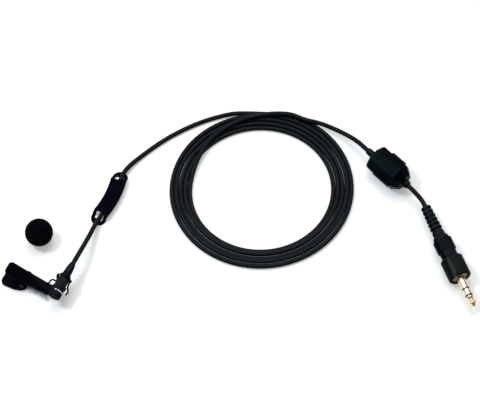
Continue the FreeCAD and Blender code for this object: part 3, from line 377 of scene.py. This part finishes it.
lacquer = grained("black_lacquer", (0.002, 0.005, 0.0065), 0.3, grain=0.12, depth=0.004, patch=4,
                  painted_top_light=(0.009, 0.0155, 0.021), worn=(0.014, 0.02, 0.024), specular=0.006)
dress(lacquer, "barrel")
dress(lacquer, "grille_cap", ease=0.05)
fine_mesh = grained("fine_mesh", (0.004, 0.007, 0.008), 0.5, grain=0.08, depth=0.03, patch=0.5, specular=0.02)
dress(fine_mesh, "grille_mesh")
drawn_can = grained("drawn_can", (0.6, 0.6, 0.62), 0.3, grain=0.2, depth=0.004, patch=3, metal=1)
dress(drawn_can, "capsule_can", "cable_crimp", ease=0.04)
film = grained("metallised_film", (0.75, 0.66, 0.4), 0.2, grain=0.3, depth=0.002, patch=2, metal=0.8)
dress(film, "diaphragm")
brass = grained("plain_brass", (0.68, 0.5, 0.2), 0.35, grain=0.15, depth=0.006, patch=2, metal=1)
dress(brass, "backplate", "solder_lugs", ease=0.03)
cup_white = grained("cup_white", (0.78, 0.78, 0.74), 0.5, grain=0.2, depth=0.01, patch=2, vary=0.06)
dress(cup_white, "capsule_insulator")
dress(grained("coated_board", (0.02, 0.12, 0.05), 0.3, grain=0.2, depth=0.01, patch=1.5), "preamp_board")
chip_black = grained("chip_black", (0.02, 0.02, 0.02), 0.55, grain=0.1, depth=0.01, patch=1)
dress(chip_black, "transistor", ease=0.05)

# Mark on the cap: a thin white dot and dash round one side. Both are bands of rings, and
# each ring has its angle on the cap and where it starts and ends along it.
mark_under, mark_top = 2.76, 2.83
dash_start, dash_end, dash_steps = 13, 86, 20
dash_front, dash_rear = 2.36, 2.84
dot_middle, dot_radius, dot_degrees, dot_steps = 2.56, 0.36, 7.5, 10
dash = [(dash_start + (dash_end - dash_start) * k / dash_steps, dash_front, dash_rear)
        for k in range(dash_steps + 1)]
dot = []
for k in range(dot_steps + 1):
    around = math.pi * k / dot_steps
    half = dot_radius * math.sin(around) + 0.01
    dot.append((-dot_degrees * math.cos(around), dot_middle - half, dot_middle + half))
mark_points = []
mark_faces = []
for band in (dot, dash):
    first = len(mark_points)
    for degrees, start, end in band:
        angle = math.radians(degrees)
        for along, radius in ((start, mark_under), (start, mark_top), (end, mark_top), (end, mark_under)):
            mark_points.append((along, -radius * math.sin(angle), radius * math.cos(angle)))
    last = len(mark_points) - 1
    for k in range(first, last - 3, 4):
        mark_faces += [(k + i, k + (i + 1) % 4, k + 4 + (i + 1) % 4, k + 4 + i) for i in range(4)]
    mark_faces += [tuple(range(first, first + 4)), tuple(range(last, last - 4, -1))]
mark_white = grained("mark_white", (0.75, 0.77, 0.78), 0.45, grain=0.1, depth=0.004, patch=1.5, vary=0.08)
mark = made("cap_mark", mark_points, mark_faces, mark_white, head_at)
fit(mark, "microphone", "black_metal")

# Rear end of the head: a black turned collar with a groove for the keeper wire, pressed into the barrel, and
# the tapered rubber boot that is moulded on the cord behind it.
collar_black = grained("collar_black", (0.0015, 0.0025, 0.0035), 0.34, grain=0.12, depth=0.006, patch=3,
                       painted_top_light=(0.006, 0.0095, 0.014), worn=(0.012, 0.016, 0.02), specular=0.025)
collar = turned("collar", [
    (8.9, 1.9), (9.2, 1.9), (9.2, 2.1), (10.2, 2.1), (10.2, 2.5), (11.1, 2.49), (11.1, 1.9), (12.5, 1.88),
    (12.5, 1.2),
], collar_black, head_at, ease=0.24)
fit(collar, "microphone", "black_metal", "rear_collar")
boot_rubber = grained("boot_rubber", (0.0015, 0.0028, 0.0034), 0.42, grain=0.2, depth=0.01, patch=3,
                      painted_top_light=(0.013, 0.022, 0.026), worn=(0.028, 0.04, 0.045), specular=0.02)
boot = turned("boot", [
    (12.5, 1.1), (12.5, 1.8), (13.3, 1.79), (14.8, 1.68), (16.3, 1.5), (17.3, 1.35), (17.3, 1.06),
], boot_rubber, head_at, ease=0.3)
fit(boot, "microphone", "boot_rubber", "cable_boot")

# Keeper: one length of hard black spring wire, bent with pliers. Its foot is on the clip's arm. It bows up to
# the barrel, winds one small eye at each side of the collar's groove that it crosses, and ends in a hook.
wire_radius = 0.38
eye_radius = 0.44
eye_points = 12
eye_turn = -410
left_eye, right_eye = (8.84, -5.75), (14.56, -5.75)
eye_low, eye_high = 7.5, 8.7


def eye(middle, low, high, start):
    """A little over one turn of the wire about an upright line, from one height to the other."""
    reach = eye_radius / math.cos(math.pi / eye_points)
    places = []
    for k in range(eye_points + 1):
        angle = math.radians(start + eye_turn * k / eye_points)
        places.append((middle[0] + reach * math.cos(angle), middle[1] + reach * math.sin(angle),
                       low + (high - low) * k / eye_points))
    return places


keeper_foot = [(3.9, -10.2, 5.66), (5.6, -9.55, 5.29), (6.35, -8.2, 7.0), (7.35, -7.5, 7.6),
               (8.5, -7.8, 7.15), (8.75, -7.0, 7.1)]
keeper_bridge = [(9.2, -5.5, 11.0), (14.2, -5.5, 11.0)]
keeper_hook = [(14.65, -7.3, 7.9), (14.72, -8.5, 7.4), (15.5, -9.5, 6.7), (15.45, -10.2, 5.9),
               (14.85, -10.9, 4.95)]
keeper_route = keeper_foot + eye(left_eye, eye_low, eye_high, 250) + keeper_bridge
keeper_route += eye(right_eye, eye_high, eye_low, 160) + keeper_hook
keeper = spline_of("keeper", keeper_route, wire_radius)
wire_black = grained("wire_black", (0.0015, 0.002, 0.0025), 0.4, grain=0.3, depth=0.006, patch=2,
                     painted_top_light=(0.004, 0.005, 0.006), specular=0.03)
keeper.data.materials.append(wire_black)
fit(keeper, "clip", "wire_steel", "keeper_wire")

# Crocodile clip: the upper arm is a folded channel of sheet steel in satin black, the jaw a nickelled
# stamping with pressed teeth, black at its tail, on a moulded thumb lever. A spring wound on the hinge pin
# shuts them.
arm_black = grained("arm_black", (0.0012, 0.0019, 0.0033), 0.42, grain=0.2, depth=0.01, patch=5,
                    worn=(0.005, 0.008, 0.011), specular=0.003)
dress(arm_black, "upper_arm", ease=0.18)
dress(arm_black, "holder_cradle", ease=0.08)
dress(wire_black, "holder_rivet", "jaw_pin", ease=0.05)
dress(grained("spring_steel", (0.3, 0.3, 0.31), 0.3, grain=0.2, depth=0.004, patch=2, metal=1), "jaw_spring")
nickel = grained("bright_nickel", (0.8, 0.815, 0.83), 0.3, grain=0.35, depth=0.006, patch=1.6, vary=0.1,
                 metal=0.45, worn=(0.9, 0.92, 0.94))
dress(nickel, "tooth_plate", ease=0.06)
jaw_plate = nodes["tooth_plate"].data
jaw_plate.materials.append(arm_black)
black_tail_x = -3.15 * mm
for face in jaw_plate.polygons:
    face.material_index = 1 if face.center.x < black_tail_x else 0
lever_black = grained("lever_black", (0.002, 0.0034, 0.0042), 0.4, grain=0.22, depth=0.012, patch=4,
                      worn=(0.006, 0.01, 0.012), specular=0.01)
dress(lever_black, "lower_lever", ease=0.16)
dress(lever_black, "upper_teeth", ease=0.04)

# Windscreen: a ball ground from open-cell polyurethane foam, dull black, with a drilled hole that stretches
# over the microphone's cap. It lies beside the clip, its hole turned away.
ball_middle = Vector((-9.75, 10.7, 6.2))
ball_at = Matrix.Translation(ball_middle * mm) @ Matrix.Rotation(math.radians(90), 4, "Z")
ball_radius = 6.15
ball_steps = 58
mouth_share = 0.1632
bore_radius = 2.65
bore_steps, bore_step = 11, 0.6
cells_per_mm = 1.9
cell_depth = 0.16
swell = 0.05
mouth_radius, mouth_y = 4.5, 4.8
ball_outline = [(-ball_radius, 0.0)]
for k in range(1, ball_steps):
    angle = math.pi * k / ball_steps * (1 - mouth_share)
    ball_outline.append((-ball_radius * math.cos(angle), ball_radius * math.sin(angle)))
ball_outline += [(5.38, 3.0), (5.33, bore_radius), (4.8, bore_radius - 0.03)]
ball_outline += [(4.2 - k * bore_step, bore_radius - 0.05) for k in range(bore_steps)]
ball_outline += [(-2.55, bore_radius - 0.1), (-2.6, 2.0), (-2.6, 0.0)]
foam_black = grained("foam_black", (0.0018, 0.0021, 0.003), 0.95, grain=0.3, depth=0.16, patch=0.7, vary=0.5,
                     specular=0.02)
ball = turned("foam_ball", ball_outline, foam_black, ball_at, ease=0.0, steps=160)
for vertex in ball.data.vertices:
    place = vertex.co / mm
    away = (place - ball_middle).normalized()
    cell = noise.voronoi(place * cells_per_mm)[0][0]
    rough = cell_depth * (min(cell, 0.5) - 0.3) + swell * noise.noise(place * 0.5)
    if (place - ball_middle).length > mouth_radius or place.y < ball_middle.y + mouth_y:
        vertex.co = (place + away * (rough - 0.05)) * mm
fit(ball, "foam", "foam", "windscreen")

# Label tag: a flexible moulded strip with a raised rim, navy black, bent a little and threaded on the cord,
# which dives through a slot at one end, under the raised middle and up through the other slot.
tag_at = Matrix.Translation(Vector((9.6, 42.0, 0)) * mm) @ Matrix.Rotation(math.radians(2.4), 4, "Z")
tag_half = 14.7
tag_half_width = 3.6
tag_straight = tag_half - tag_half_width
tag_bend = 45.0
tag_thick = 0.65
tag_rise = 2.4
side_steps, end_steps = 24, 20
slot_near = 9.3
slot_far = 12.0
slot_half = 2.0
slot_corner = 0.6
field_step_along, field_step_across = 0.5, 0.6
field_drop = -0.2
# Each step is how far in from the edge it stands, and how high against the top of the rim.
rim_steps = [(0.0, -0.26), (0.05, -0.14), (0.14, -0.05), (0.28, 0.0), (0.7, 0.0), (0.82, -0.1),
             (0.95, field_drop)]
slot_steps = [(0, field_drop - 0.16), (0.06, field_drop - 0.04), (0.16, field_drop)]


def tag_height(along):
    """Height of the tag's underside, which rises along the slots to the middle."""
    share = min(1.0, max(0.0, (slot_far - abs(along)) / (slot_far - slot_near)))
    return tag_rise * share * share * (3 - 2 * share)


def from_spine(along, across):
    """Distance of a place on the tag from the line between the middles of its round ends."""
    return math.dist((along, across), (max(-tag_straight, min(tag_straight, along)), 0))


def stadium(margin):
    """Outline of the tag, drawn in by a margin, as (along, across)."""
    radius = tag_half_width - margin
    line = []
    for side in (1, -1):
        for k in range(side_steps):
            line.append((side * (tag_straight - 2 * tag_straight * k / side_steps), side * radius))
        for k in range(end_steps):
            angle = math.pi * k / end_steps
            line.append((-side * (tag_straight + radius * math.sin(angle)), side * radius * math.cos(angle)))
    return line


def slot_line(side, margin):
    """Outline of a slot with round corners, in short pieces, as (along, across)."""
    low = slot_near - margin
    high = slot_far + margin
    half = slot_half + margin
    corner = slot_corner + margin
    line = []
    for middle_along, middle_across, start in (
        (high - corner, half - corner, 0), (low + corner, half - corner, 90),
        (low + corner, corner - half, 180), (high - corner, corner - half, 270),
    ):
        for k in range(5):
            angle = math.radians(start + 90 * k / 4)
            line.append((side * (middle_along + corner * math.cos(angle)),
                         middle_across + corner * math.sin(angle)))
    fine = []
    for here, there in zip(line, line[1:] + line[:1]):
        pieces = max(1, round(math.dist(here, there) / field_step_along))
        fine += [tuple(a + (b - a) * k / pieces for a, b in zip(here, there)) for k in range(pieces)]
    return fine


def in_slot(along, across, margin=0.0):
    """Whether a place lies in a slot, or closer to one than the margin."""
    return (slot_near - margin < abs(along) < slot_far + margin) and abs(across) < slot_half + margin


def tag_plan():
    """The tag laid flat: its places, how high each stands against the rim, and triangles between them."""
    loops = [(stadium(margin), drop) for margin, drop in rim_steps]
    for side in (-1, 1):
        loops += [(slot_line(side, margin), drop) for margin, drop in slot_steps]
    flat = []
    edges = []
    drops = []
    for line, drop in loops:
        first = len(flat)
        flat += line
        drops += [drop] * len(line)
        edges += [(first + k, first + (k + 1) % len(line)) for k in range(len(line))]
    for i in range(-26, 27):
        for j in range(-4, 5):
            along, across = i * field_step_along, j * field_step_across
            if tag_half_width - from_spine(along, across) > 1.1 and not in_slot(along, across, 0.5):
                flat.append((along, across))
                drops.append(field_drop)
    result = delaunay_2d_cdt([Vector(p) for p in flat], edges, [], 0, 1e-6)
    places, triangles, origins = result[0], result[2], result[3]
    return places, [drops[sources[0]] for sources in origins], triangles


def tag_body():
    """Points and faces of the tag: its rim, its field and both slots in one closed skin."""
    places, levels, triangles = tag_plan()
    points = []
    faces = []
    count = len(places)
    for top in (True, False):
        for (along, across), level in zip(places, levels):
            angle = along / tag_bend
            reach = tag_bend + across
            height = tag_height(along) + (tag_thick + level if top else 0.0)
            points.append((reach * math.cos(angle) - tag_bend, reach * math.sin(angle), height))
    for triangle in triangles:
        along = sum(places[k][0] for k in triangle) / 3
        across = sum(places[k][1] for k in triangle) / 3
        on_slot_edge = all(levels[k] < field_drop - 0.1 for k in triangle)
        if from_spine(along, across) > tag_half_width or (in_slot(along, across) and on_slot_edge):
            continue
        faces.append(tuple(triangle))
        faces.append(tuple(count + k for k in reversed(triangle)))
    used = {}
    for face in faces[::2]:
        for a, b in zip(face, face[1:] + face[:1]):
            used[tuple(sorted((a, b)))] = used.get(tuple(sorted((a, b))), 0) + 1
    for (a, b), times in used.items():
        if times == 1:
            faces.append((a, b, count + b, count + a))
    return points, faces


tag_navy = grained("tag_navy", (0.0009, 0.0014, 0.0052), 0.4, grain=0.2, depth=0.006, patch=5,
                   worn=(0.004, 0.005, 0.011), specular=0.01)
tag = made("tag", *tag_body(), tag_navy, tag_at, crease=32)
fit(tag, "microphone", "tag_plastic", "label_tag")
on_cord.append(tag.name)

# Ferrite case: two moulded eight-sided shells that snap shut on a split block of sintered ferrite round the
# cord, hinged by a strip on one side and latched on the other, with a raised panel on the lid and a short
# rubber sleeve at each end.
case_at = Matrix.Translation(Vector((116.87, 104.97, 6.494)) * mm)
case_at = case_at @ Matrix.Rotation(math.radians(-22), 4, "Z") @ Matrix.Rotation(math.radians(22), 4, "X")
case_black = grained("case_black", (0.001, 0.0024, 0.0042), 0.26, grain=0.25, depth=0.006, patch=6,
                     worn=(0.007, 0.012, 0.016), specular=0.026, tint=(0.45, 0.9, 1))
dress(case_black, "case_base", "case_lid", "case_hinge", ease=0.22)
ferrite = grained("ferrite_grey", (0.05, 0.05, 0.052), 0.6, grain=0.2, depth=0.02, patch=2)
dress(ferrite, "core_lower", "core_upper", ease=0.1)
panel_along = -1.25
panel_half = 5.6
panel_half_width = 1.75
panel_corner = 0.5
panel_steps = [(0.0, 5.9), (0.0, 6.05), (0.07, 6.12), (0.28, 6.12), (0.36, 6.04)]


def panel_line(margin):
    """Outline of the panel, drawn in by a margin, as (along, across)."""
    corner = panel_corner - margin
    half = panel_half - margin - corner
    half_width = panel_half_width - margin - corner
    line = []
    for middle_along, middle_across, start in (
        (half, half_width, 0), (-half, half_width, 90), (-half, -half_width, 180), (half, -half_width, 270),
    ):
        for k in range(6):
            angle = math.radians(start + 90 * k / 5)
            line.append((middle_along + corner * math.cos(angle), middle_across + corner * math.sin(angle)))
    return line


panel_points = []
panel_faces = []
for margin, height in panel_steps:
    panel_points += [(along + panel_along, across, height) for along, across in panel_line(margin)]
ring = len(panel_points) // len(panel_steps)
for level in range(len(panel_steps) - 1):
    for k in range(ring):
        a, b = level * ring + k, level * ring + (k + 1) % ring
        panel_faces.append((a, b, b + ring, a + ring))
panel_faces.append(tuple(range(ring))[::-1])
panel_faces.append(tuple(range(len(panel_points) - ring, len(panel_points))))
panel = made("case_panel", panel_points, panel_faces, case_black, case_at)
fit(panel, "case_top", "case_plastic")
on_cord.append(panel.name)

sleeve_in = [(-7.65, 1.12), (-7.65, 1.6), (-12.7, 1.6), (-13.4, 1.55), (-13.8, 1.4), (-13.8, 1.06)]
sleeve_out = [(7.65, 1.12), (7.65, 1.6), (9.2, 1.6), (9.85, 1.85), (10.85, 1.85), (11.5, 1.5), (11.5, 1.06)]
sleeve_rubber = grained("sleeve_rubber", (0.0025, 0.004, 0.005), 0.45, grain=0.2, depth=0.01, patch=2,
                        painted_top_light=(0.014, 0.018, 0.02), specular=0.03)
for name, outline, replaced in (("sleeve_in", sleeve_in, ["case_grommets"]), ("sleeve_out", sleeve_out, [])):
    sleeve = turned(name, outline, sleeve_rubber, case_at, ease=0.25)
    fit(sleeve, "microphone", "grommet_rubber", *replaced)
    on_cord.append(sleeve.name)

# Plug: a rubber strain relief with six ribs, a moulded grip with fine rings, and a turned lock nut that spins
# freely on the metal core. The gold plated contacts are kept apart by two dark plastic rings.
plug_at = Matrix.Translation(Vector(plug_start) * mm) @ Matrix.Rotation(math.radians(-44.8), 4, "Z")
rib_count = 6
rib_pitch = 2.15
rib_radius = 2.3
rib_growth = 0.5
groove_radius = 1.75
relief_outline = [(0.0, 1.06), (0.0, rib_radius)]
for k in range(rib_count):
    start = k * rib_pitch
    radius = rib_radius + rib_growth * k / rib_count
    if k:
        relief_outline.append((start, radius))
    relief_outline += [(start + 1.15, radius), (start + 1.25, groove_radius), (start + 2.05, groove_radius)]
relief_outline += [(12.9, 2.5), (13.6, 2.7), (15.6, 2.8), (15.6, 2.0)]
relief = turned("strain_relief", relief_outline, boot_rubber, plug_at, ease=0.42)
fit(relief, "microphone", "boot_rubber", "plug_boot")

grip_black = grained("grip_black", (0.0015, 0.003, 0.0042), 0.32, grain=0.2, depth=0.008, patch=4,
                     painted_top_light=(0.009, 0.0155, 0.021), worn=(0.012, 0.018, 0.022), specular=0.015)
ring_count = 5
ring_pitch = 1.16
ring_radius = 4.25
ring_root = 3.95
rings_from = 18.0
grip_outline = [(15.6, 2.2), (15.6, 2.9), (16.4, 3.5), (rings_from, 3.5), (rings_from, ring_radius)]
for k in range(ring_count):
    start = rings_from + k * ring_pitch
    grip_outline += [(start + 0.7, ring_radius), (start + 0.74, ring_root), (start + 1.12, ring_root)]
    if k < ring_count - 1:
        grip_outline.append((start + ring_pitch, ring_radius))
grip_outline += [(23.8, 3.7), (26.8, 3.7), (26.8, 2.7)]
grip = turned("grip", grip_outline, grip_black, plug_at, ease=0.12)
fit(grip, "microphone", "grip_plastic", "plug_grip")

nut_satin = grained("nut_satin", (0.0025, 0.0042, 0.0036), 0.36, grain=0.3, depth=0.02, patch=0.9, vary=0.6,
                    painted_top_light=(0.012, 0.0155, 0.0135), worn=(0.03, 0.038, 0.042), specular=0.018)
nut = turned("nut", [
    (29.5, 2.66), (27.1, 2.66), (27.1, 4.2), (27.9, 5.03), (36.3, 5.03), (36.5, 4.93), (36.7, 5.0),
    (37.1, 5.0), (37.5, 4.6), (37.5, 3.72), (29.6, 3.72), (29.6, 2.66),
], nut_satin, plug_at, ease=0.14)
fit(nut, "nut", "nut_metal", "lock_nut")

gold = grained("gold_plating", (0.91, 0.77, 0.52), 0.32, grain=0.25, depth=0.003, patch=2, vary=0.06, metal=1)
dress(gold, "sleeve_contact", "ring_contact", ease=0.06)
# The core's brass is painted dark brown: painted shade for where it sits inside the nut's mouth.
shaded_core_brass = grained("shaded_core_brass", (0.19, 0.12, 0.06), 0.3, grain=0.2, depth=0.006, patch=2, vary=0.15,
                     metal=1)
dress(shaded_core_brass, "plug_core", ease=0.06)
tip_outline = [(46.9, 0.42), (46.9, 1.75), (47.4, 1.75), (48.0, 1.45), (48.45, 1.17), (49.0, 1.15),
               (49.5, 1.5), (49.9, 1.7), (50.55, 1.575), (51.3, 0.98), (51.85, 0.6), (52.1, 0.275),
               (52.1, 0.0)]
tip = turned("plug_tip", tip_outline, gold, plug_at, ease=0.28)
fit(tip, "microphone", "gold", "tip_contact")
ring_brown = grained("ring_brown", (0.02, 0.012, 0.01), 0.35, grain=0.2, depth=0.006, patch=1)
dress(ring_brown, "plug_insulators", ease=0.04)
ring_steel = grained("ring_steel", (0.35, 0.35, 0.36), 0.3, grain=0.2, depth=0.004, patch=2, metal=1)
dress(ring_steel, "nut_snap_ring", ease=0.05)
on_cord += [relief.name, grip.name, nut.name, tip.name]
